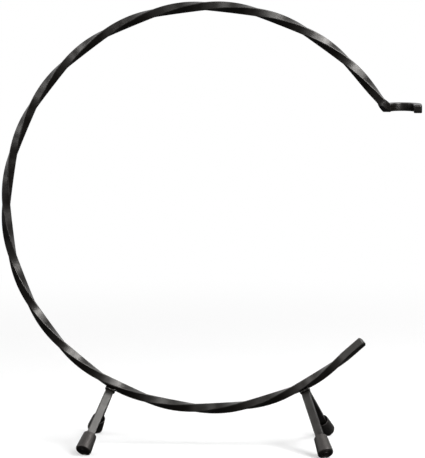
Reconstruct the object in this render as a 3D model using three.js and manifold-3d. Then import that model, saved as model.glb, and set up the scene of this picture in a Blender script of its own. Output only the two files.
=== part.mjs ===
// Twisted ring stand. One square steel bar is twisted along its length, rolled into a
// ring that stays open on the right, and finished with a hook at its upper end. Two
// inverted V legs of the same bar are welded under it and wear rubber feet.
// Millimetres, +Z up, the front faces -Y.
import * as THREE from "three";
import { mergeVertices } from "three/addons/utils/BufferGeometryUtils.js";
import Module from "manifold-3d";

const wasm = await Module();
wasm.setup();

const degree = Math.PI / 180;

// Square bar, shared by the ring and the legs
const barSide = 6;
const barCornerRadius = 0.7;
const barEndChamfer = 1;
const cornerSteps = 2;

// Ring, measured on the centre line of its bar
const ringRadius = 148.3;
const ringUpperAngle = 39 * degree; // the rolled arc ends here, above the opening
const ringLowerAngle = -48.4 * degree; // and here, below the opening
const lowerTailLength = 21.5;
const upperTailLength = 17.4;

// Twist of the ring bar
const twistTurns = 4.8;
const plainTailLength = 20.8; // the lower tail stays square up to here
const twistEaseLength = 4; // the twist sets in and fades out over this length
const twistStep = 7.5 * degree;

// Hook, a level U that opens to the front
const hookBendRadius = 7;
const hookInnerArmLength = 2;
const hookSpacing = 22.4; // from the centre of one arm to the centre of the other
const hookTipLength = 13;
const hookBendSteps = 10;
const hookTurnSteps = 18;

// V legs
const legAngle = 28.3 * degree; // place on the ring, from its lowest point
const legSplay = 23 * degree; // lean of the V's plane away from the middle
const legHalfOpening = 45.5 * degree;
const legLength = 55.8; // along a leg, from the corner of the lower V to its cut end
const legBendRadius = 10;
const legBendSteps = 10;

// Rubber feet
const footLength = 15;
const footTopRadius = 4.9;
const footSoleRadius = 5.9;
const footEdgeRadius = 1.5;
const footSoleThickness = 3.8;
const footFlatDepth = 0.5; // depth of the flat that each foot stands on
const soleRingInnerRadius = 2;
const soleRingOuterRadius = 3;
const soleRingDepth = 0.5;
const footSides = 32;
const footArcSteps = 4;

// Weld beads between the ring and the legs
const weldLength = 6.4;
const weldRadius = 1.7;
const weldOutShare = 0.15; // of the bead's radius, from the corner away from the leg
const weldDownShare = 0.25; // of the bead's radius, from the corner down the leg
const weldSegments = 16;

// Fits
const seatGap = 0.3; // between two pieces that touch
const cutOverrun = 20; // how far a cutter reaches past what it cuts

const front = new THREE.Vector3(0, -1, 0);
const rear = new THREE.Vector3(0, 1, 0);
const up = new THREE.Vector3(0, 0, 1);

// Finishes
const blackPaint = new THREE.MeshStandardMaterial({
  name: "black_paint",
  color: 0x17171a,
  roughness: 0.42,
  metalness: 0.1,
});
const blackRubber = new THREE.MeshStandardMaterial({
  name: "black_rubber",
  color: 0x2a2725,
  roughness: 0.72,
  metalness: 0,
});

// A bar's centre line: straights and arcs laid one after another.
class BarPath {
  constructor(start, direction, sideAt) {
    this.sideAt = sideAt;
    this.stations = [];
    this.add(start.clone(), direction.clone().normalize(), 0);
  }

  get last() {
    return this.stations[this.stations.length - 1];
  }

  get length() {
    return this.last.distance;
  }

  add(point, tangent, distance) {
    const side = this.sideAt(tangent);
    const out = new THREE.Vector3().crossVectors(side, tangent);
    this.stations.push({ point, tangent, distance, side, out });
  }

  straight(length, steps = 1) {
    const { point, tangent, distance } = this.last;
    for (let i = 1; i <= steps; i++) {
      const run = (length * i) / steps;
      this.add(point.clone().addScaledVector(tangent, run), tangent.clone(), distance + run);
    }
    return this;
  }

  arc(radius, angle, axis, steps) {
    const { point, tangent, distance } = this.last;
    const inward = new THREE.Vector3().crossVectors(axis, tangent).normalize();
    const centre = point.clone().addScaledVector(inward, radius);
    for (let i = 1; i <= steps; i++) {
      const turned = (angle * i) / steps;
      const spoke = point.clone().sub(centre).applyAxisAngle(axis, turned);
      const heading = tangent.clone().applyAxisAngle(axis, turned);
      this.add(spoke.add(centre), heading, distance + radius * turned);
    }
    return this;
  }
}

// The square section with its rolled corners, as angles and distances from the centre.
function barSection(side, cornerRadius) {
  const reach = side / 2 - cornerRadius;
  const points = [];
  for (let corner = 0; corner < 4; corner++) {
    const middle = (corner + 0.5) * 90 * degree;
    const centreX = reach * Math.sign(Math.cos(middle));
    const centreY = reach * Math.sign(Math.sin(middle));
    for (let i = 0; i <= cornerSteps; i++) {
      const angle = (corner + i / cornerSteps) * 90 * degree;
      points.push(
        new THREE.Vector2(
          centreX + cornerRadius * Math.cos(angle),
          centreY + cornerRadius * Math.sin(angle),
        ),
      );
    }
  }
  return points;
}

// One closed surface through equal rings of points, with a flat cap at each end.
function loft(rings) {
  const count = rings[0].length;
  const positions = rings.flat().flatMap((p) => [p.x, p.y, p.z]);
  const indices = [];
  for (let r = 0; r + 1 < rings.length; r++) {
    for (let i = 0; i < count; i++) {
      const next = (i + 1) % count;
      const a = r * count + i;
      const b = r * count + next;
      const c = a + count;
      const d = b + count;
      indices.push(a, c, b, b, c, d);
    }
  }
  const end = (rings.length - 1) * count;
  for (let i = 1; i + 1 < count; i++) {
    indices.push(0, i, i + 1);
    indices.push(end, end + i + 1, end + i);
  }
  const geometry = new THREE.BufferGeometry();
  geometry.setAttribute("position", new THREE.Float32BufferAttribute(positions, 3));
  geometry.setIndex(indices);
  geometry.computeVertexNormals();
  return geometry;
}

// The bar along a path, chamfered at both ends. Grown, it is the bar's own clearance.
function sweepBar(path, rollAt = () => 0, grown = 0) {
  const section = barSection(barSide + 2 * grown, barCornerRadius + grown);
  const endShare = 1 - (2 * barEndChamfer) / barSide;
  const lastIndex = path.stations.length - 1;
  const rings = path.stations.map(({ point, tangent, distance, side, out }, index) => {
    const isEnd = index === 0 || index === lastIndex;
    const scale = isEnd ? endShare : 1;
    const shift = index === 0 ? -grown : index === lastIndex ? grown : 0;
    const centre = point.clone().addScaledVector(tangent, shift);
    const roll = rollAt(distance);
    return section.map(({ x, y }) => {
      const across = scale * (x * Math.cos(roll) - y * Math.sin(roll));
      const outward = scale * (x * Math.sin(roll) + y * Math.cos(roll));
      return centre.clone().addScaledVector(side, across).addScaledVector(out, outward);
    });
  });
  return loft(rings);
}

function toSolid(geometry) {
  const bare = geometry.clone();
  bare.deleteAttribute("normal");
  bare.deleteAttribute("uv");
  const merged = mergeVertices(bare);
  return new wasm.Manifold(
    new wasm.Mesh({
      numProp: 3,
      vertProperties: merged.attributes.position.array,
      triVerts: new Uint32Array(merged.index.array),
    }),
  );
}

function toGeometry(solid) {
  const mesh = solid.getMesh();
  const geometry = new THREE.BufferGeometry();
  geometry.setAttribute("position", new THREE.BufferAttribute(mesh.vertProperties, 3));
  geometry.setIndex(new THREE.BufferAttribute(mesh.triVerts, 1));
  geometry.computeVertexNormals();
  return geometry;
}

// A piece in its own frame, less cutters that are given in the stand's frame.
function carve(geometry, placement, cutters) {
  const toLocal = placement.clone().invert();
  let solid = toSolid(geometry);
  for (const cutter of cutters) {
    solid = solid.subtract(toSolid(cutter.clone().applyMatrix4(toLocal)));
  }
  return toGeometry(solid);
}

function makeMesh(name, geometry, material, placement = new THREE.Matrix4()) {
  const mesh = new THREE.Mesh(geometry, material.clone());
  mesh.name = name;
  placement.decompose(mesh.position, mesh.quaternion, mesh.scale);
  return mesh;
}

// Ring bar

function ringPoint(angle) {
  return new THREE.Vector3(ringRadius * Math.cos(angle), 0, ringRadius * Math.sin(angle));
}

// Square to the ring's plane on the ring, and upright once the bar turns rearwards.
function ringSideAt(tangent) {
  const liesInRing = Math.abs(tangent.y) < Number.EPSILON;
  return liesInRing ? front.clone() : new THREE.Vector3().crossVectors(tangent, up).normalize();
}

const rolledAngle = 2 * Math.PI - (ringUpperAngle - ringLowerAngle);
const rolledLength = ringRadius * rolledAngle;
const twistedLength = lowerTailLength + rolledLength + upperTailLength - plainTailLength;
const twistStepLength = (twistedLength * twistStep) / (twistTurns * 2 * Math.PI);

// The share of the twist that is reached at a share of its length.
function twistShareAt(lengthShare) {
  const easeShare = twistEaseLength / twistedLength;
  const slope = 1 / (1 - easeShare);
  if (lengthShare <= 0) return 0;
  if (lengthShare >= 1) return 1;
  if (lengthShare < easeShare) return (slope * lengthShare ** 2) / (2 * easeShare);
  if (lengthShare > 1 - easeShare) return 1 - (slope * (1 - lengthShare) ** 2) / (2 * easeShare);
  return slope * (lengthShare - easeShare / 2);
}

// A left-handed twist that ends square to the ring's plane at the hook.
function ringRollAt(distance) {
  const lengthShare = (distance - plainTailLength) / twistedLength;
  return -twistTurns * 2 * Math.PI * (1 - twistShareAt(lengthShare));
}

function makeRingPath() {
  const stepsFor = (length) => Math.ceil(length / twistStepLength);
  const heading = new THREE.Vector3(Math.sin(ringLowerAngle), 0, -Math.cos(ringLowerAngle));
  const start = ringPoint(ringLowerAngle).addScaledVector(heading, -lowerTailLength);
  const cutTailLength = lowerTailLength - barEndChamfer;
  const path = new BarPath(start, heading, ringSideAt);
  path.straight(barEndChamfer).straight(cutTailLength, stepsFor(cutTailLength));
  path.arc(ringRadius, rolledAngle, rear, stepsFor(rolledLength));
  path.straight(upperTailLength, stepsFor(upperTailLength));
  const outward = ringPoint(ringUpperAngle).normalize();
  path.arc(hookBendRadius, 90 * degree, outward, hookBendSteps);
  path.straight(hookInnerArmLength);
  path.arc(hookSpacing / 2, 180 * degree, up.clone().negate(), hookTurnSteps);
  path.straight(hookTipLength - barEndChamfer).straight(barEndChamfer);
  return path;
}

const ringPath = makeRingPath();
const ringGeometry = sweepBar(ringPath, ringRollAt);
const ringClearance = sweepBar(ringPath, ringRollAt, seatGap);

// Legs. A leg's frame has its corner, the way up its V and the way out from the middle.

// How far the ring bar reaches from a point along a direction, over the width of a leg.
function ringReach(point, direction, along) {
  const positions = ringGeometry.attributes.position;
  const vertex = new THREE.Vector3();
  const halfWidth = barSide / 2 + twistStepLength;
  let reach = 0;
  for (let i = 0; i < positions.count; i++) {
    vertex.fromBufferAttribute(positions, i).sub(point);
    if (vertex.length() > 2 * barSide || Math.abs(vertex.dot(along)) > halfWidth) continue;
    reach = Math.max(reach, vertex.dot(direction));
  }
  return reach;
}

function legFrame(hand) {
  const climb = new THREE.Vector3(-hand * Math.sin(legSplay), 0, Math.cos(legSplay));
  const outward = new THREE.Vector3(hand * Math.cos(legSplay), 0, Math.sin(legSplay));
  const crossing = ringPoint(-90 * degree + hand * legAngle);
  const reach = ringReach(crossing, climb.clone().negate(), outward);
  const seat = crossing.addScaledVector(climb, -(reach + seatGap));
  const rise = legBendRadius * (1 / Math.sin(legHalfOpening) - 1);
  const corner = seat.clone().addScaledVector(climb, rise - barSide / 2);
  return { hand, climb, outward, seat, corner };
}

function legDirection({ climb }, towards) {
  return new THREE.Vector3()
    .addScaledVector(climb, -Math.cos(legHalfOpening))
    .addScaledVector(towards, Math.sin(legHalfOpening));
}

// The twist seats one V a little higher than the other, so its legs are cut that much longer.
function reachLength(leg) {
  const lowestCorner = Math.min(legs.left.corner.z, legs.right.corner.z);
  return legLength + (lowestCorner - leg.corner.z) / legDirection(leg, front).z;
}

function makeLegPath(leg) {
  const axis = new THREE.Vector3().crossVectors(leg.climb, rear);
  const start = leg.corner.clone().addScaledVector(legDirection(leg, front), reachLength(leg));
  const bendStart = legBendRadius / Math.tan(legHalfOpening);
  const straightLength = reachLength(leg) - bendStart - barEndChamfer;
  return new BarPath(start, legDirection(leg, front).negate(), () => axis.clone())
    .straight(barEndChamfer)
    .straight(straightLength)
    .arc(legBendRadius, 180 * degree - 2 * legHalfOpening, axis, legBendSteps)
    .straight(straightLength)
    .straight(barEndChamfer);
}

// Feet

// A quarter turn of the profile, from one angle to the next round a centre.
function profileArc(centreX, centreY, radius, fromAngle, toAngle) {
  const points = [];
  for (let i = 0; i <= footArcSteps; i++) {
    const angle = fromAngle + ((toAngle - fromAngle) * i) / footArcSteps;
    points.push(
      new THREE.Vector2(centreX + radius * Math.cos(angle), centreY + radius * Math.sin(angle)),
    );
  }
  return points;
}

// A flared ferrule on its own axis, from its sole at zero up to its mouth. Its round bore
// clears the corners of the square leg and ends a gap below the leg's cut end.
function makeFerrule() {
  const cornerReach = Math.SQRT2 * (barSide / 2 - barCornerRadius) + barCornerRadius;
  const boreRadius = cornerReach + seatGap;
  const lipRadius = (footTopRadius - boreRadius) / 2;
  const profile = [
    new THREE.Vector2(0, 0),
    new THREE.Vector2(soleRingInnerRadius, 0),
    new THREE.Vector2(soleRingInnerRadius, soleRingDepth),
    new THREE.Vector2(soleRingOuterRadius, soleRingDepth),
    new THREE.Vector2(soleRingOuterRadius, 0),
    ...profileArc(
      footSoleRadius - footEdgeRadius,
      footEdgeRadius,
      footEdgeRadius,
      -90 * degree,
      0,
    ),
    ...profileArc(
      footTopRadius - lipRadius,
      footLength - lipRadius,
      lipRadius,
      0,
      180 * degree,
    ),
    new THREE.Vector2(boreRadius, footSoleThickness),
    new THREE.Vector2(0, footSoleThickness),
  ];
  return new THREE.LatheGeometry(profile, footSides);
}

// Height of a leaning foot's sole centre over its lowest point.
function soleLift(direction) {
  const lean = Math.acos(-direction.z);
  const rimRadius = footSoleRadius - footEdgeRadius;
  return rimRadius * Math.sin(lean) + footEdgeRadius * (1 - Math.cos(lean));
}

function soleCentre(leg, towards) {
  const reach = reachLength(leg) + seatGap + footSoleThickness;
  return leg.corner.clone().addScaledVector(legDirection(leg, towards), reach);
}

const legs = { left: legFrame(-1), right: legFrame(1) };
const anyFoot = soleCentre(legs.right, front);
const floorHeight = anyFoot.z - soleLift(legDirection(legs.right, front)) + footFlatDepth;

function makeFloorCutter() {
  const width = 2 * (ringRadius + cutOverrun);
  const block = new THREE.BoxGeometry(width, width, cutOverrun);
  return block.translate(0, 0, floorHeight - cutOverrun / 2);
}

function makeFoot(name, leg, towards) {
  const climb = legDirection(leg, towards).negate();
  const across = new THREE.Vector3().crossVectors(climb, leg.outward);
  const placement = new THREE.Matrix4()
    .makeBasis(leg.outward, climb, across.negate())
    .setPosition(soleCentre(leg, towards));
  const geometry = carve(makeFerrule(), placement, [makeFloorCutter()]);
  return makeMesh(name, geometry, blackRubber, placement);
}

// A bead laid in the corner between the ring and one flank of a leg.
function makeWeld(name, leg, flank, legClearance) {
  const away = leg.outward.clone().multiplyScalar(flank);
  const centre = leg.seat
    .clone()
    .addScaledVector(away, barSide / 2 + weldOutShare * weldRadius)
    .addScaledVector(leg.climb, -weldDownShare * weldRadius);
  const placement = new THREE.Matrix4().setPosition(centre);
  const bead = new THREE.SphereGeometry(1, weldSegments, weldSegments / 2);
  bead.scale(weldRadius, weldLength / 2, weldRadius);
  const geometry = carve(bead, placement, [ringClearance, legClearance]);
  return makeMesh(name, geometry, blackPaint, placement);
}

// Assembly

const stand = new THREE.Group();
stand.add(makeMesh("ring_bar", ringGeometry, blackPaint));
for (const [handName, leg] of Object.entries(legs)) {
  const legPath = makeLegPath(leg);
  const legClearance = sweepBar(legPath, undefined, seatGap);
  stand.add(makeMesh(`leg_bar_${handName}`, sweepBar(legPath), blackPaint));
  stand.add(makeWeld(`weld_${handName}_outer`, leg, leg.hand, legClearance));
  stand.add(makeWeld(`weld_${handName}_inner`, leg, -leg.hand, legClearance));
  stand.add(makeFoot(`foot_front_${handName}`, leg, front));
  stand.add(makeFoot(`foot_rear_${handName}`, leg, rear));
}

// The origin is the middle of the footprint of the whole stand, on the floor.
const extent = new THREE.Box3().setFromObject(stand, true);
const middle = extent.getCenter(new THREE.Vector3());
stand.position.set(-middle.x, -middle.y, -floorHeight);

const group = new THREE.Group();
group.add(stand);

export default group;
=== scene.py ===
import math

import bmesh
import bpy
from mathutils import Matrix, Quaternion, Vector, noise
from mathutils.bvhtree import BVHTree


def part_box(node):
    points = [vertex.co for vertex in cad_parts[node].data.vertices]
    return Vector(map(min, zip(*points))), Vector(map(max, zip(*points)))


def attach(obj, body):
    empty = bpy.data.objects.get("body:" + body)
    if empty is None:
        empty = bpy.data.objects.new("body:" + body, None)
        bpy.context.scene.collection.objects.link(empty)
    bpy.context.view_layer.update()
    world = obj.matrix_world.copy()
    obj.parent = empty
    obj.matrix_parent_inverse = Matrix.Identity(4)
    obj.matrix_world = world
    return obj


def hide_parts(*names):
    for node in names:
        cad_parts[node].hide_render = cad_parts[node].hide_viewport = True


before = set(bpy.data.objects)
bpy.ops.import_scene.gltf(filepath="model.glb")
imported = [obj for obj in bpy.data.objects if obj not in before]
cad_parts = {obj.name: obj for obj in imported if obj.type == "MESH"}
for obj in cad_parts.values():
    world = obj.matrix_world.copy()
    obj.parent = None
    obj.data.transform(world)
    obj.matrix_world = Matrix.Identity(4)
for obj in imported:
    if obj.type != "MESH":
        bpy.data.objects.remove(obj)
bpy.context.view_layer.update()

scene = bpy.context.scene
scene.view_settings.view_transform = "Standard"
mm = 0.001
tiny = 1e-6
front = Vector((0, -1, 0))
rear = Vector((0, 1, 0))
up = Vector((0, 0, 1))
print("frame loaded")

cameraView = {
    "aim": (0.00165, 0.0, 0.1613),
    "azimuth": 3.23,  # degrees round to the right of the front
    "elevation": 7.04,  # degrees above the level
    "distance": 1.902,
    "lens": 219.7,
    "sensorWidth": 36.0,
    "clipStart": 0.05,
}


def addCamera(view):
    data = bpy.data.cameras.new("standCamera")
    data.sensor_fit = "HORIZONTAL"
    data.sensor_width = view["sensorWidth"]
    data.lens = view["lens"]
    data.clip_start = view["clipStart"]
    camera = bpy.data.objects.new("standCamera", data)
    azimuth = math.radians(view["azimuth"])
    elevation = math.radians(view["elevation"])
    level = math.cos(elevation)
    back = Vector((
        math.sin(azimuth) * level,
        -math.cos(azimuth) * level,
        math.sin(elevation),
    ))
    camera.location = Vector(view["aim"]) + back * view["distance"]
    camera.rotation_euler = back.to_track_quat("Z", "Y").to_euler()
    scene.collection.objects.link(camera)
    scene.camera = camera


addCamera(cameraView)
print("camera placed")


# Node helpers

mixSockets = {"factor": 0, "first": 6, "second": 7, "result": 2}


def addNode(tree, kind, settings=None, inputs=None):
    node = tree.nodes.new(kind)
    for name, value in (settings or {}).items():
        setattr(node, name, value)
    for name, value in (inputs or {}).items():
        socket = node.inputs[name]
        if isinstance(value, bpy.types.NodeSocket):
            tree.links.new(value, socket)
        else:
            socket.default_value = value
    return node


def addMath(tree, operation, first, second):
    settings = {"operation": operation}
    return addNode(tree, "ShaderNodeMath", settings, {0: first, 1: second}).outputs[0]


def addStretched(tree, vector, factors):
    settings = {"operation": "MULTIPLY"}
    inputs = {0: vector, 1: factors}
    return addNode(tree, "ShaderNodeVectorMath", settings, inputs).outputs["Vector"]


def addLength(tree, vector):
    settings = {"operation": "LENGTH"}
    return addNode(tree, "ShaderNodeVectorMath", settings, {0: vector}).outputs["Value"]


def addRange(tree, value, low, high, toLow=0.0, toHigh=1.0):
    inputs = {
        "Value": value,
        "From Min": low,
        "From Max": high,
        "To Min": toLow,
        "To Max": toHigh,
    }
    settings = {"interpolation_type": "SMOOTHSTEP"}
    return addNode(tree, "ShaderNodeMapRange", settings, inputs).outputs["Result"]


def addNoise(tree, vector, scale, detail, roughness=0.5):
    inputs = {
        "Vector": vector,
        "Scale": scale,
        "Detail": detail,
        "Roughness": roughness,
    }
    return addNode(tree, "ShaderNodeTexNoise", None, inputs).outputs["Fac"]


def addBump(tree, height, strength, distance):
    inputs = {
        "Height": height,
        "Strength": strength,
        "Distance": distance,
    }
    return addNode(tree, "ShaderNodeBump", None, inputs)


def addColourMix(tree, factor, first, second):
    inputs = {
        mixSockets["factor"]: factor,
        mixSockets["first"]: first,
        mixSockets["second"]: second,
    }
    node = addNode(tree, "ShaderNodeMix", {"data_type": "RGBA"}, inputs)
    return node.outputs[mixSockets["result"]]


def addGroup(tree, group, vector, values):
    inputs = {"Vector": vector, **values}
    return addNode(tree, "ShaderNodeGroup", {"node_tree": group}, inputs).outputs


def newGroup(name, values, results):
    group = bpy.data.node_groups.new(name, "ShaderNodeTree")
    sockets = group.interface
    sockets.new_socket("Vector", in_out="INPUT", socket_type="NodeSocketVector")
    for title in values:
        sockets.new_socket(title, in_out="INPUT", socket_type="NodeSocketFloat")
    for title in results:
        sockets.new_socket(title, in_out="OUTPUT", socket_type="NodeSocketFloat")
    given = group.nodes.new("NodeGroupInput").outputs
    result = group.nodes.new("NodeGroupOutput").inputs
    return group, given, result


# Paint and rubber share a pebbled skin: a broad ripple, a fine speck and a slow change
# of tone.

skinShape = {
    "rippleDetail": 1.0,
    "speckDetail": 3.0,
    "speckRoughness": 0.6,
    "toneDetail": 3.0,
    "toneFrom": 0.3,
    "toneTo": 0.7,
}


def makeSkinGroup(shape):
    group, given, result = newGroup(
        "pebbledSkin",
        ["Ripple Scale", "Speck Scale", "Speck Share", "Tone Scale"],
        ["Height", "Tone"],
    )
    vector = given["Vector"]
    ripple = addNoise(group, vector, given["Ripple Scale"], shape["rippleDetail"])
    speck = addNoise(
        group, vector, given["Speck Scale"], shape["speckDetail"], shape["speckRoughness"]
    )
    tone = addNoise(group, vector, given["Tone Scale"], shape["toneDetail"])
    speckHeight = addMath(group, "MULTIPLY", speck, given["Speck Share"])
    height = addMath(group, "ADD", ripple, speckHeight)
    tone = addRange(group, tone, shape["toneFrom"], shape["toneTo"])
    group.links.new(height, result["Height"])
    group.links.new(tone, result["Tone"])
    return group


# Dust lies where a surface looks up.

dustShape = {
    "facingFrom": 0.35,
    "facingTo": 0.95,
    "patchDetail": 4.0,
    "patchRoughness": 0.65,
    "patchFrom": 0.35,
    "patchTo": 0.75,
    "patchLeast": 0.25,
}


def makeDustGroup(shape):
    group, given, result = newGroup("settledDust", ["Scale", "Amount"], ["Mask"])
    normal = addNode(group, "ShaderNodeNewGeometry").outputs["Normal"]
    height = addNode(group, "ShaderNodeSeparateXYZ", None, {"Vector": normal}).outputs["Z"]
    facing = addRange(group, height, shape["facingFrom"], shape["facingTo"])
    patches = addNoise(
        group, given["Vector"], given["Scale"], shape["patchDetail"], shape["patchRoughness"]
    )
    broken = addRange(
        group, patches, shape["patchFrom"], shape["patchTo"], shape["patchLeast"]
    )
    mask = addMath(group, "MULTIPLY", facing, broken)
    mask = addMath(group, "MULTIPLY", mask, given["Amount"])
    group.links.new(mask, result["Mask"])
    return group


# Where paint thins over an edge. Distance is how far a point lies from the bar's middle.

rubShape = {
    "patchDetail": 4.0,
    "patchRoughness": 0.6,
    "patchFrom": 0.4,
    "patchTo": 0.8,
}


def makeRubGroup(shape):
    group, given, result = newGroup("edgeRub", ["Distance", "From", "To", "Scale"], ["Mask"])
    edge = addRange(group, given["Distance"], given["From"], given["To"])
    patches = addNoise(
        group, given["Vector"], given["Scale"], shape["patchDetail"], shape["patchRoughness"]
    )
    broken = addRange(group, patches, shape["patchFrom"], shape["patchTo"])
    group.links.new(addMath(group, "MULTIPLY", edge, broken), result["Mask"])
    return group


skinGroup = makeSkinGroup(skinShape)
dustGroup = makeDustGroup(dustShape)
rubGroup = makeRubGroup(rubShape)


# What both finishes are made of. A look is a colour and a roughness.

def newFinish(name):
    material = bpy.data.materials.new(name)
    material.use_nodes = True
    tree = material.node_tree
    return material, tree, tree.nodes["Principled BSDF"]


def addSkin(tree, vector, settings):
    skin = addGroup(tree, skinGroup, vector, {
        "Ripple Scale": settings["rippleScale"],
        "Speck Scale": settings["speckScale"],
        "Speck Share": settings["speckShare"],
        "Tone Scale": settings["toneScale"],
    })
    tone = skin["Tone"]
    colour = addColourMix(tree, tone, settings["colour"], settings["toneColour"])
    roughness = addRange(tree, tone, 0.0, 1.0, settings["smooth"], settings["dull"])
    return (colour, roughness), skin["Height"]


def addLayer(tree, look, mask, layerColour, dulling):
    colour, roughness = look
    change = addMath(tree, "MULTIPLY", mask, dulling)
    return (
        addColourMix(tree, mask, colour, layerColour),
        addMath(tree, "ADD", roughness, change),
    )


def addDust(tree, look, vector, settings):
    mask = addGroup(tree, dustGroup, vector, {
        "Scale": settings["dustScale"],
        "Amount": settings["dustAmount"],
    })["Mask"]
    return addLayer(tree, look, mask, settings["dustColour"], settings["dustDulling"])


def finishShader(tree, shader, look, bump, settings):
    colour, roughness = look
    tree.links.new(colour, shader.inputs["Base Color"])
    tree.links.new(roughness, shader.inputs["Roughness"])
    tree.links.new(bump.outputs["Normal"], shader.inputs["Normal"])
    shader.inputs["Specular IOR Level"].default_value = settings["specularLevel"]
    shader.inputs["Specular Tint"].default_value = settings["specularTint"]


# Satin black paint on the bars and the beads

paint = {
    "colour": (0.0026, 0.0018, 0.0011, 1),
    "toneColour": (0.0044, 0.0034, 0.0025, 1),
    "smooth": 0.28,
    "dull": 0.38,
    "specularLevel": 0.8,
    "specularTint": (1, 0.975, 0.945, 1),
    "rippleScale": 1100.0,
    "speckScale": 4200.0,
    "speckShare": 0.35,
    "toneScale": 120.0,
    "bumpStrength": 0.6,
    "bumpDepth": 0.05 * mm,
    "dustColour": (0.11, 0.105, 0.098, 1),
    "dustDulling": 0.5,
    "dustScale": 900.0,
    "dustAmount": 0.05,
    "rubColour": (0.05, 0.048, 0.046, 1),
    "rubDulling": -0.08,
    "rubFrom": 3.66 * mm,
    "rubTo": 3.98 * mm,
    "rubScale": 130.0,
    "lineScale": 1500.0,
    "lineDetail": 2.0,
    "lineStretch": (1, 1, 0.02),
    "lineShare": 0.5,
    "waveScale": 42.0,
    "waveDetail": 1.0,
    "waveStrength": 1.0,
    "waveDepth": 0.7 * mm,
    "acrossOnly": (1, 1, 0),
}

# The paint runs smoother over the beads
bead = {
    "smooth": 0.2,
    "dull": 0.28,
}


# Paint on a bar has the lines that drawing left along it, and shows the slow unevenness
# of a bar that was bent by hand.
def makeBarPaint(name, settings):
    material, tree, shader = newFinish(name)
    place = addNode(tree, "ShaderNodeAttribute", {"attribute_name": "barSpace"})
    vector = place.outputs["Vector"]
    look, height = addSkin(tree, vector, settings)
    along = addStretched(tree, vector, settings["lineStretch"])
    lines = addNoise(tree, along, settings["lineScale"], settings["lineDetail"])
    lineHeight = addMath(tree, "MULTIPLY", lines, settings["lineShare"])
    height = addMath(tree, "ADD", height, lineHeight)
    rub = addGroup(tree, rubGroup, vector, {
        "Distance": addLength(tree, addStretched(tree, vector, settings["acrossOnly"])),
        "From": settings["rubFrom"],
        "To": settings["rubTo"],
        "Scale": settings["rubScale"],
    })["Mask"]
    look = addLayer(tree, look, rub, settings["rubColour"], settings["rubDulling"])
    look = addDust(tree, look, vector, settings)
    waves = addNoise(tree, vector, settings["waveScale"], settings["waveDetail"])
    wave = addBump(tree, waves, settings["waveStrength"], settings["waveDepth"])
    bump = addBump(tree, height, settings["bumpStrength"], settings["bumpDepth"])
    tree.links.new(wave.outputs["Normal"], bump.inputs["Normal"])
    finishShader(tree, shader, look, bump, settings)
    return material


def makeBeadPaint(name, settings):
    material, tree, shader = newFinish(name)
    vector = addNode(tree, "ShaderNodeTexCoord").outputs["Object"]
    look, height = addSkin(tree, vector, settings)
    look = addDust(tree, look, vector, settings)
    bump = addBump(tree, height, settings["bumpStrength"], settings["bumpDepth"])
    finishShader(tree, shader, look, bump, settings)
    return material


# Moulded black rubber on the ferrules

rubber = {
    "colour": (0.007, 0.0064, 0.006, 1),
    "toneColour": (0.012, 0.0108, 0.01, 1),
    "smooth": 0.45,
    "dull": 0.55,
    "specularLevel": 0.76,
    "specularTint": (1, 0.93, 0.9, 1),
    "rippleScale": 1500.0,
    "speckScale": 5200.0,
    "speckShare": 0.6,
    "toneScale": 240.0,
    "bumpStrength": 0.35,
    "bumpDepth": 0.05 * mm,
    "dustColour": (0.12, 0.113, 0.104, 1),
    "dustDulling": 0.4,
    "dustScale": 1100.0,
    "dustAmount": 0.3,
    "scuffColour": (0.024, 0.022, 0.0205, 1),
    "scuffDulling": 0.2,
    "scuffHeight": 2.2 * mm,
    "scuffScale": 700.0,
    "scuffDetail": 5.0,
    "scuffRoughness": 0.7,
    "scuffFrom": 0.45,
    "scuffTo": 0.7,
}


def makeRubber(name, settings):
    material, tree, shader = newFinish(name)
    vector = addNode(tree, "ShaderNodeTexCoord").outputs["Object"]
    look, height = addSkin(tree, vector, settings)
    # Scuffs at the bottom of the ferrule, where it meets the table
    level = addNode(tree, "ShaderNodeSeparateXYZ", None, {"Vector": vector}).outputs["Z"]
    low = addRange(tree, level, settings["scuffHeight"], 0.0)
    marks = addNoise(
        tree, vector, settings["scuffScale"], settings["scuffDetail"], settings["scuffRoughness"]
    )
    marks = addRange(tree, marks, settings["scuffFrom"], settings["scuffTo"])
    scuff = addMath(tree, "MULTIPLY", low, marks)
    look = addLayer(tree, look, scuff, settings["scuffColour"], settings["scuffDulling"])
    look = addDust(tree, look, vector, settings)
    bump = addBump(tree, height, settings["bumpStrength"], settings["bumpDepth"])
    finishShader(tree, shader, look, bump, settings)
    return material


barPaint = makeBarPaint("barPaint", paint)
beadPaint = makeBeadPaint("beadPaint", {**paint, **bead})
ferruleRubber = makeRubber("ferruleRubber", rubber)
print("finishes made")


# Finished pieces

def partsOf(geometry, kind):
    return [part for part in geometry if isinstance(part, kind)]


def edgesWhere(mesh, test):
    return [edge for edge in mesh.edges if all(test(vertex.co) for vertex in edge.verts)]


def boxOf(mesh):
    low = Vector(min(vertex.co[i] for vertex in mesh.verts) for i in range(3))
    high = Vector(max(vertex.co[i] for vertex in mesh.verts) for i in range(3))
    return low, high


# Moves a bar onto the middle of its node's box, and says how far it went.
def moveToNode(mesh, node):
    low, high = boxOf(mesh)
    nodeLow, nodeHigh = (Vector(corner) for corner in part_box(node))
    shift = (nodeLow + nodeHigh - low - high) / 2
    bmesh.ops.translate(mesh, vec=shift, verts=mesh.verts)
    return shift


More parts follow.
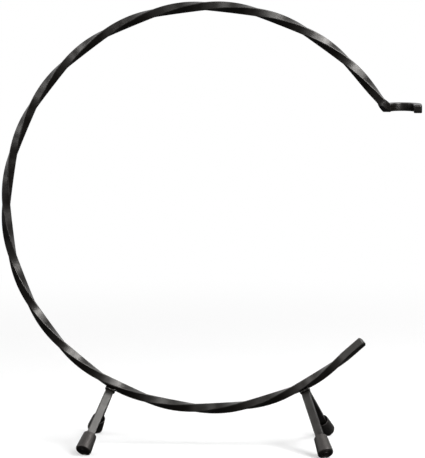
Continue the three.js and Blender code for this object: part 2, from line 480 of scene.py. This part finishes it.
# Melt gives the voxel and the smoothing of a piece whose bodies run into each other.
def addPiece(name, mesh, material, node, melt=None):
    bmesh.ops.recalc_face_normals(mesh, faces=mesh.faces)
    data = bpy.data.meshes.new(name)
    mesh.to_mesh(data)
    mesh.free()
    data.shade_smooth()
    data.materials.append(material)
    piece = bpy.data.objects.new(name, data)
    scene.collection.objects.link(piece)
    if melt:
        melted = piece.modifiers.new("melted", "REMESH")
        melted.mode = "VOXEL"
        melted.voxel_size = melt["voxel"]
        melted.use_smooth_shade = True
        smoothed = piece.modifiers.new("smoothed", "SMOOTH")
        smoothed.iterations = melt["smoothing"]
    weighted = piece.modifiers.new("flatFaces", "WEIGHTED_NORMAL")
    weighted.keep_sharp = True
    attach(piece, "root")
    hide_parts(node)


# Bars: a straight bar is made first, then each of its points is laid along a route.

bar = {
    "side": 6 * mm,
    "cornerRadius": 0.7 * mm,
    "cornerSegments": 5,
    "endChamfer": 1 * mm,
    "chamferSoftness": 0.16 * mm,
    "chamferSegments": 2,
    "step": 0.6 * mm,
}


class Route:
    def __init__(self, start, heading, sideAt):
        self.point = start
        self.tangent = heading
        self.sideAt = sideAt
        self.length = 0.0
        self.stretches = []

    def straight(self, length):
        self.stretches.append((self.length, self.point, self.tangent, None, 0.0))
        self.point = self.point + self.tangent * length
        self.length += length
        return self

    def arc(self, radius, angle, axis):
        self.stretches.append((self.length, self.point, self.tangent, axis, radius))
        self.point, self.tangent = self.turned(self.stretches[-1], radius * angle)
        self.length += radius * angle
        return self

    def turned(self, stretch, run):
        begin, point, tangent, axis, radius = stretch
        if axis is None:
            return point + tangent * run, tangent
        centre = point + axis.cross(tangent).normalized() * radius
        turn = Quaternion(axis, run / radius)
        return centre + turn @ (point - centre), turn @ tangent

    def at(self, distance):
        stretch = self.stretches[0]
        for candidate in self.stretches:
            if candidate[0] <= distance:
                stretch = candidate
        point, tangent = self.turned(stretch, distance - stretch[0])
        side = self.sideAt(tangent)
        return point, side, side.cross(tangent)


def makeStraightBar(length):
    chamfer = bar["endChamfer"]
    endScale = 1 - 2 * chamfer / bar["side"]
    body = length - 2 * chamfer
    mesh = bmesh.new()
    bmesh.ops.create_grid(mesh, x_segments=1, y_segments=1, size=bar["side"] / 2)
    bmesh.ops.bevel(
        mesh,
        geom=mesh.verts[:],
        affect="VERTICES",
        offset=bar["cornerRadius"],
        segments=bar["cornerSegments"],
        profile=0.5,
        material=-1,
    )
    bmesh.ops.scale(mesh, vec=(endScale, endScale, 1), verts=mesh.verts)
    section = mesh.faces[:]
    inside = []
    for rise, spread in ((chamfer, 1 / endScale), (body, 1.0), (chamfer, endScale)):
        raised = bmesh.ops.extrude_face_region(mesh, geom=section)["geom"]
        # Only the bar's two end faces stay
        bmesh.ops.delete(mesh, geom=inside, context="FACES_ONLY")
        section = partsOf(raised, bmesh.types.BMFace)
        inside = section
        corners = partsOf(raised, bmesh.types.BMVert)
        bmesh.ops.scale(mesh, vec=(spread, spread, 1), verts=corners)
        bmesh.ops.translate(mesh, vec=(0, 0, rise), verts=corners)
    bmesh.ops.recalc_face_normals(mesh, faces=mesh.faces)
    rims = [
        edge
        for level in (0, chamfer, length - chamfer, length)
        for edge in edgesWhere(mesh, lambda place: abs(place.z - level) < tiny)
    ]
    bmesh.ops.bevel(
        mesh,
        geom=rims,
        affect="EDGES",
        offset=bar["chamferSoftness"],
        segments=bar["chamferSegments"],
        profile=0.5,
        material=-1,
        clamp_overlap=True,
    )
    longEdges = [edge for edge in mesh.edges if edge.calc_length() > body / 2]
    bmesh.ops.subdivide_edges(
        mesh, edges=longEdges, cuts=math.ceil(body / bar["step"]), use_grid_fill=True
    )
    return mesh


# Lays a straight bar along its route. barSpace keeps where each point was.
def layAlong(mesh, route, rollAt):
    barSpace = mesh.verts.layers.float_vector.new("barSpace")
    for vertex in mesh.verts:
        across, outward, distance = vertex.co
        vertex[barSpace] = vertex.co
        point, side, out = route.at(distance)
        roll = rollAt(distance)
        cosRoll, sinRoll = math.cos(roll), math.sin(roll)
        vertex.co = (
            point
            + side * (across * cosRoll - outward * sinRoll)
            + out * (across * sinRoll + outward * cosRoll)
        )


# Ring bar

ring = {
    "radius": 148.3 * mm,
    "upperAngle": math.radians(39),
    "lowerAngle": math.radians(-48.4),
    "lowerTail": 21.5 * mm,
    "upperTail": 17.4 * mm,
    "twistTurns": 4.839,
    "plainTail": 15 * mm,
    "twistEase": 4 * mm,
    "hookBendRadius": 7 * mm,
    "hookInnerArm": 2 * mm,
    "hookSpacing": 22.4 * mm,
    "hookTip": 13 * mm,
    "planeLimit": 1e-5,  # how far a heading in the ring's plane may point out of it
}


def ringPoint(angle):
    return Vector((math.cos(angle), 0, math.sin(angle))) * ring["radius"]


def ringSideAt(tangent):
    if abs(tangent.y) < ring["planeLimit"]:
        return front.copy()
    return tangent.cross(up).normalized()


def makeRingRoute():
    lower = ring["lowerAngle"]
    rolled = 2 * math.pi - (ring["upperAngle"] - lower)
    heading = Vector((math.sin(lower), 0, -math.cos(lower)))
    start = ringPoint(lower) - heading * ring["lowerTail"]
    route = Route(start, heading, ringSideAt)
    route.straight(ring["lowerTail"]).arc(ring["radius"], rolled, rear)
    route.straight(ring["upperTail"])
    twisted = route.length - ring["plainTail"]
    route.arc(ring["hookBendRadius"], math.pi / 2, ringPoint(ring["upperAngle"]).normalized())
    route.straight(ring["hookInnerArm"])
    route.arc(ring["hookSpacing"] / 2, math.pi, -up)
    route.straight(ring["hookTip"])
    return route, twisted


ringRoute, twistedLength = makeRingRoute()


# The twist sets in and fades out over a short ease at each end.
def twistShareAt(share):
    ease = ring["twistEase"] / twistedLength
    slope = 1 / (1 - ease)
    if share <= 0:
        return 0.0
    if share >= 1:
        return 1.0
    if share < ease:
        return slope * share ** 2 / (2 * ease)
    if share > 1 - ease:
        return 1 - slope * (1 - share) ** 2 / (2 * ease)
    return slope * (share - ease / 2)


def ringRollAt(distance):
    share = (distance - ring["plainTail"]) / twistedLength
    return -ring["twistTurns"] * 2 * math.pi * (1 - twistShareAt(share))


def makeRing():
    mesh = makeStraightBar(ringRoute.length)
    layAlong(mesh, ringRoute, ringRollAt)
    moveToNode(mesh, "ring_bar")
    surface = BVHTree.FromBMesh(mesh)
    addPiece("ringBar", mesh, barPaint, "ring_bar")
    return surface


ringSurface = makeRing()
print("ring bar made")


# V legs

legShape = {
    "splay": math.radians(23),
    "halfOpening": math.radians(45.5),
    "length": 55.8 * mm,  # from the corner of the lower V to the cut end
    "bendRadius": 10 * mm,
}


def legDirection(climb, towards):
    half = legShape["halfOpening"]
    return towards * math.sin(half) - climb * math.cos(half)


# The V that the ring's twist seats higher has legs that are cut that much longer.
def legLength(node):
    tops = [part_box(name)[1][2] for name in ("leg_bar_left", "leg_bar_right")]
    drop = math.cos(legShape["halfOpening"]) * math.cos(legShape["splay"])
    return legShape["length"] + (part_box(node)[1][2] - min(tops)) / drop


def makeLegs(hand, node, name):
    splay = legShape["splay"]
    climb = Vector((-hand * math.sin(splay), 0, math.cos(splay)))
    outward = Vector((hand * math.cos(splay), 0, math.sin(splay)))
    axis = climb.cross(rear)
    half = legShape["halfOpening"]
    length = legLength(node)
    straight = length - legShape["bendRadius"] / math.tan(half)
    heading = legDirection(climb, front)
    route = Route(heading * length, -heading, lambda tangent: axis.copy())
    route.straight(straight)
    route.arc(legShape["bendRadius"], math.pi - 2 * half, axis)
    route.straight(straight)
    mesh = makeStraightBar(route.length)
    layAlong(mesh, route, lambda distance: 0.0)
    corner = moveToNode(mesh, node)
    addPiece(name, mesh, barPaint, node)
    rise = legShape["bendRadius"] * (1 / math.sin(half) - 1)
    seat = corner - climb * (rise - bar["side"] / 2)
    return {
        "hand": hand,
        "climb": climb,
        "outward": outward,
        "corner": corner,
        "seat": seat,
        "length": length,
    }


legs = {
    "Left": makeLegs(-1, "leg_bar_left", "legBarLeft"),
    "Right": makeLegs(1, "leg_bar_right", "legBarRight"),
}
print("legs made")


# Rubber ferrules. Each row of the profile is a radius, a height and how far the edge
# there is rounded back, in millimetres.

ferrule = {
    "seatGap": 0.3 * mm,
    "soleThickness": 3.8 * mm,
    "sides": 96,
    "profile": (
        (0.0, 0.0, 0.0),
        (2.0, 0.0, 0.1),
        (2.12, 0.45, 0.12),
        (2.88, 0.45, 0.12),
        (3.0, 0.0, 0.1),
        (3.75, 0.0, 0.04),
        (3.83, 0.16, 0.04),
        (4.07, 0.16, 0.04),
        (4.15, 0.0, 0.04),
        (5.9, 0.0, 1.3),
        (4.9, 15.0, 0.3),
        (4.26, 15.0, 0.28),
        (4.26, 3.8, 0.2),
        (0.0, 3.8, 0.0),
    ),
    "roundSegments": 6,
    "partingHeight": 0.07 * mm,
    "partingSine": 0.01,  # of the angle to either side of the mould's parting plane
    "outsideFrom": 4.5 * mm,
}


def makeFerruleShape():
    mesh = bmesh.new()
    rows = [[value * mm for value in row] for row in ferrule["profile"]]
    points = [mesh.verts.new((radius, 0, height)) for radius, height, soft in rows]
    for first, second in zip(points, points[1:]):
        mesh.edges.new((first, second))
    bmesh.ops.spin(
        mesh,
        geom=mesh.verts[:] + mesh.edges[:],
        axis=(0, 0, 1),
        cent=(0, 0, 0),
        angle=2 * math.pi,
        steps=ferrule["sides"],
        use_merge=True,
    )
    bmesh.ops.remove_doubles(mesh, verts=mesh.verts, dist=tiny)
    bmesh.ops.recalc_face_normals(mesh, faces=mesh.faces)
    for radius, height, soft in rows:
        if soft:
            bmesh.ops.bevel(
                mesh,
                geom=edgesWhere(
                    mesh,
                    lambda place: abs(math.hypot(place.x, place.y) - radius) < tiny
                    and abs(place.z - height) < tiny,
                ),
                affect="EDGES",
                offset=soft,
                segments=ferrule["roundSegments"],
                profile=0.5,
                material=-1,
            )
    # The mould's two parting lines stand proud of the outside
    for vertex in mesh.verts:
        outside = math.hypot(vertex.co.x, vertex.co.y) > ferrule["outsideFrom"]
        sine = math.sin(math.atan2(vertex.co.y, vertex.co.x))
        if outside and abs(sine) < ferrule["partingSine"]:
            vertex.co.x += math.copysign(ferrule["partingHeight"], vertex.co.x)
    return mesh


# A ferrule is pushed onto a leg's cut end, and the floor cuts its rim flat.
def makeFerrule(name, node, leg, towards):
    mesh = makeFerruleShape()
    direction = legDirection(leg["climb"], towards)
    reach = leg["length"] + ferrule["seatGap"] + ferrule["soleThickness"]
    soleCentre = leg["corner"] + direction * reach
    axes = (leg["outward"], -direction.cross(leg["outward"]), -direction)
    turn = Matrix(axes).transposed().to_4x4()
    bmesh.ops.transform(mesh, matrix=Matrix.Translation(soleCentre) @ turn, verts=mesh.verts)
    cut = bmesh.ops.bisect_plane(
        mesh,
        geom=mesh.verts[:] + mesh.edges[:] + mesh.faces[:],
        plane_co=(0, 0, 0),
        plane_no=(0, 0, -1),
        clear_outer=True,
    )["geom_cut"]
    rim = partsOf(cut, bmesh.types.BMEdge)
    bmesh.ops.holes_fill(mesh, edges=rim)
    for edge in rim:
        edge.smooth = False
    addPiece(name, mesh, ferruleRubber, node)


for side, leg in legs.items():
    makeFerrule("ferruleFront" + side, "foot_front_" + side.lower(), leg, front)
    makeFerrule("ferruleRear" + side, "foot_rear_" + side.lower(), leg, rear)
print("ferrules made")


# Welds: puddles laid one after the other in the corner between the ring and a V's flank,
# with roots that reach in between the two bars. They melt into one bead.

weld = {
    "length": 6.4 * mm,
    "puddles": 10,
    "puddleDivisions": 3,
    "alongRadius": 0.85 * mm,
    "outRadius": 0.95 * mm,
    "upMargin": 1.1 * mm,  # past the gap that a puddle bridges
    "lowered": 0.4 * mm,
    "highest": 1.3 * mm,
    "probeReach": 3 * bar["side"],
    "unevenness": 0.1,
    "unevenStep": 1.3,
    "unevenRow": 0.5,
    "outerSeed": 1.7,
    "innerSeed": 5.3,
    "endShrink": 0.5,
    "endPower": 4,
    "startBulge": 2.3,  # the first puddle of a V's right-hand bead
    "rootLength": 5.6 * mm,
    "rootShare": 0.75,  # of half the bar's side
    "rootMargin": 0.3 * mm,
    "voxel": 0.12 * mm,
    "smoothing": 4,
}


# Height of the ring's underside over the seat of a V
def undersideAt(leg, across, depth):
    below = leg["seat"] + leg["outward"] * across + rear * depth - leg["climb"] * bar["side"]
    hit = ringSurface.ray_cast(below, leg["climb"], weld["probeReach"])[0]
    if hit is None:
        return weld["highest"]
    return min(weld["highest"], (hit - leg["seat"]).dot(leg["climb"]))


def addPuddle(mesh, leg, place, radii):
    axes = Matrix((leg["outward"], rear, leg["climb"])).transposed()
    centre = leg["seat"] + axes @ Vector(place)
    bmesh.ops.create_icosphere(
        mesh,
        subdivisions=weld["puddleDivisions"],
        radius=1,
        matrix=Matrix.Translation(centre) @ axes.to_4x4() @ Matrix.Diagonal((*radii, 1)),
    )


def makeWeld(name, node, leg, flank, seed):
    mesh = bmesh.new()
    half = bar["side"] / 2
    bendRadius = legShape["bendRadius"] + half
    along = weld["alongRadius"]
    reach = weld["length"] / 2 - along
    for index in range(weld["puddles"]):
        share = 2 * index / (weld["puddles"] - 1) - 1
        depth = share * reach
        crest = math.sqrt(bendRadius ** 2 - depth ** 2) - bendRadius
        uneven = noise.noise(Vector((weld["unevenStep"] * index, seed, weld["unevenRow"])))
        size = 1 - weld["endShrink"] * share ** weld["endPower"]
        size *= 1 + weld["unevenness"] * uneven
        if index == 0 and flank == leg["hand"]:
            size *= weld["startBulge"]
        gap = undersideAt(leg, flank * half, depth) - crest
        middle = crest + gap / 2 - weld["lowered"]
        radii = (weld["outRadius"] * size, along, (gap / 2 + weld["upMargin"]) * size)
        addPuddle(mesh, leg, (flank * half, depth, middle), radii)
        if abs(depth) < weld["rootLength"] / 2:
            gap = undersideAt(leg, flank * half / 2, depth) - crest
            radii = (weld["rootShare"] * half, along, gap / 2 + weld["rootMargin"])
            addPuddle(mesh, leg, (flank * half / 2, depth, crest + gap / 2), radii)
    addPiece(name, mesh, beadPaint, node, melt=weld)


for side, leg in legs.items():
    outerNode = "weld_" + side.lower() + "_outer"
    innerNode = "weld_" + side.lower() + "_inner"
    makeWeld("weld" + side + "Outer", outerNode, leg, leg["hand"], weld["outerSeed"])
    makeWeld("weld" + side + "Inner", innerNode, leg, -leg["hand"], weld["innerSeed"])
print("welds made")


# Floor, room and lamps

floorLook = {
    "radius": 3.0,
    "sides": 96,
    "seenColour": (0.6, 0.6, 0.6, 1),
    "bouncedColour": (0.03, 0.03, 0.03, 1),
    "lift": 0.36,
    "plainFrom": 0.25,
    "plainTo": 0.9,
}


# The camera sees a white floor that keeps the stand's shadow and turns into the white
# background further out.
def makeFloor(look):
    mesh = bmesh.new()
    bmesh.ops.create_circle(
        mesh, cap_ends=True, segments=look["sides"], radius=look["radius"]
    )
    data = bpy.data.meshes.new("floor")
    mesh.to_mesh(data)
    mesh.free()
    material = bpy.data.materials.new("floorWhite")
    material.use_nodes = True
    tree = material.node_tree
    tree.nodes.clear()
    seen = addNode(tree, "ShaderNodeLightPath").outputs["Is Camera Ray"]
    place = addNode(tree, "ShaderNodeTexCoord").outputs["Object"]
    far = addRange(tree, addLength(tree, place), look["plainFrom"], look["plainTo"])
    colour = addColourMix(tree, seen, look["bouncedColour"], look["seenColour"])
    lit = addNode(tree, "ShaderNodeBsdfDiffuse", None, {"Color": colour}).outputs[0]
    lift = addMath(tree, "MULTIPLY", seen, look["lift"])
    glow = addNode(tree, "ShaderNodeEmission", None, {"Strength": lift}).outputs[0]
    near = addNode(tree, "ShaderNodeAddShader", None, {0: lit, 1: glow}).outputs[0]
    white = addNode(tree, "ShaderNodeEmission", None, {"Strength": 1.0}).outputs[0]
    factor = addMath(tree, "MULTIPLY", seen, far)
    blend = addNode(tree, "ShaderNodeMixShader", None, {0: factor, 1: near, 2: white})
    addNode(tree, "ShaderNodeOutputMaterial", None, {"Surface": blend.outputs[0]})
    data.materials.append(material)
    floor = bpy.data.objects.new("floor", data)
    scene.collection.objects.link(floor)


makeFloor(floorLook)

room = {
    "frontLevel": 0.2,
    "level": 0.22,
    "dimTo": -0.95,  # along Y, from behind the camera
    "dimFrom": -0.25,
    "rearLevel": 0.5,
    "rearFrom": 0.1,
    "rearTo": 0.7,
}


# A plain room that is brighter behind the stand. The camera itself sees it white, and the
# stand mirrors it dimmer.
def makeWorld(look):
    world = bpy.data.worlds.new("studio")
    world.use_nodes = True
    scene.world = world
    tree = world.node_tree
    tree.nodes.clear()
    direction = addNode(tree, "ShaderNodeTexCoord").outputs["Generated"]
    depth = addNode(tree, "ShaderNodeSeparateXYZ", None, {"Vector": direction}).outputs["Y"]
    level = addRange(
        tree, depth, look["dimTo"], look["dimFrom"], look["frontLevel"], look["level"]
    )
    backdrop = addRange(
        tree, depth, look["rearFrom"], look["rearTo"], 0.0, look["rearLevel"]
    )
    level = addMath(tree, "ADD", level, backdrop)
    seen = addNode(tree, "ShaderNodeLightPath").outputs["Is Camera Ray"]
    strength = addMath(tree, "MAXIMUM", seen, level)
    white = {"Color": (1, 1, 1, 1), "Strength": strength}
    background = addNode(tree, "ShaderNodeBackground", None, white).outputs[0]
    addNode(tree, "ShaderNodeOutputWorld", None, {"Surface": background})


makeWorld(room)

lamps = {
    "overheadLamp": {"at": (0.45, -0.53, 1.49), "size": (1.1, 1.1), "power": 4.5},
    "keyLamp": {"at": (0.78, -0.18, 1.3), "size": (0.5, 0.5), "power": 7.0},
    "softLamp": {"at": (0.93, -0.68, 1.11), "size": (1.1, 1.1), "power": 10.5},
    "frontLamp": {"at": (0.87, -0.98, 0.64), "size": (0.5, 0.5), "power": 8.8},
    "leftLamp": {"at": (-0.98, -0.2, 1.13), "size": (0.5, 0.5), "power": 2.8},
    "frontLeftLamp": {"at": (-0.87, -0.98, 0.64), "size": (0.5, 0.5), "power": 1.7},
    "fillLamp": {"at": (-1.33, -0.17, 0.54), "size": (0.5, 0.5), "power": 2.4},
}
lampAim = Vector((0, 0, 0.15))


def addLamp(name, settings):
    data = bpy.data.lights.new(name, "AREA")
    data.shape = "RECTANGLE"
    data.size, data.size_y = settings["size"]
    data.energy = settings["power"]
    lamp = bpy.data.objects.new(name, data)
    lamp.location = settings["at"]
    away = Vector(settings["at"]) - lampAim
    lamp.rotation_euler = away.to_track_quat("Z", "Y").to_euler()
    lamp.visible_camera = False
    scene.collection.objects.link(lamp)


for lampName, lampSettings in lamps.items():
    addLamp(lampName, lampSettings)
print("studio lit")
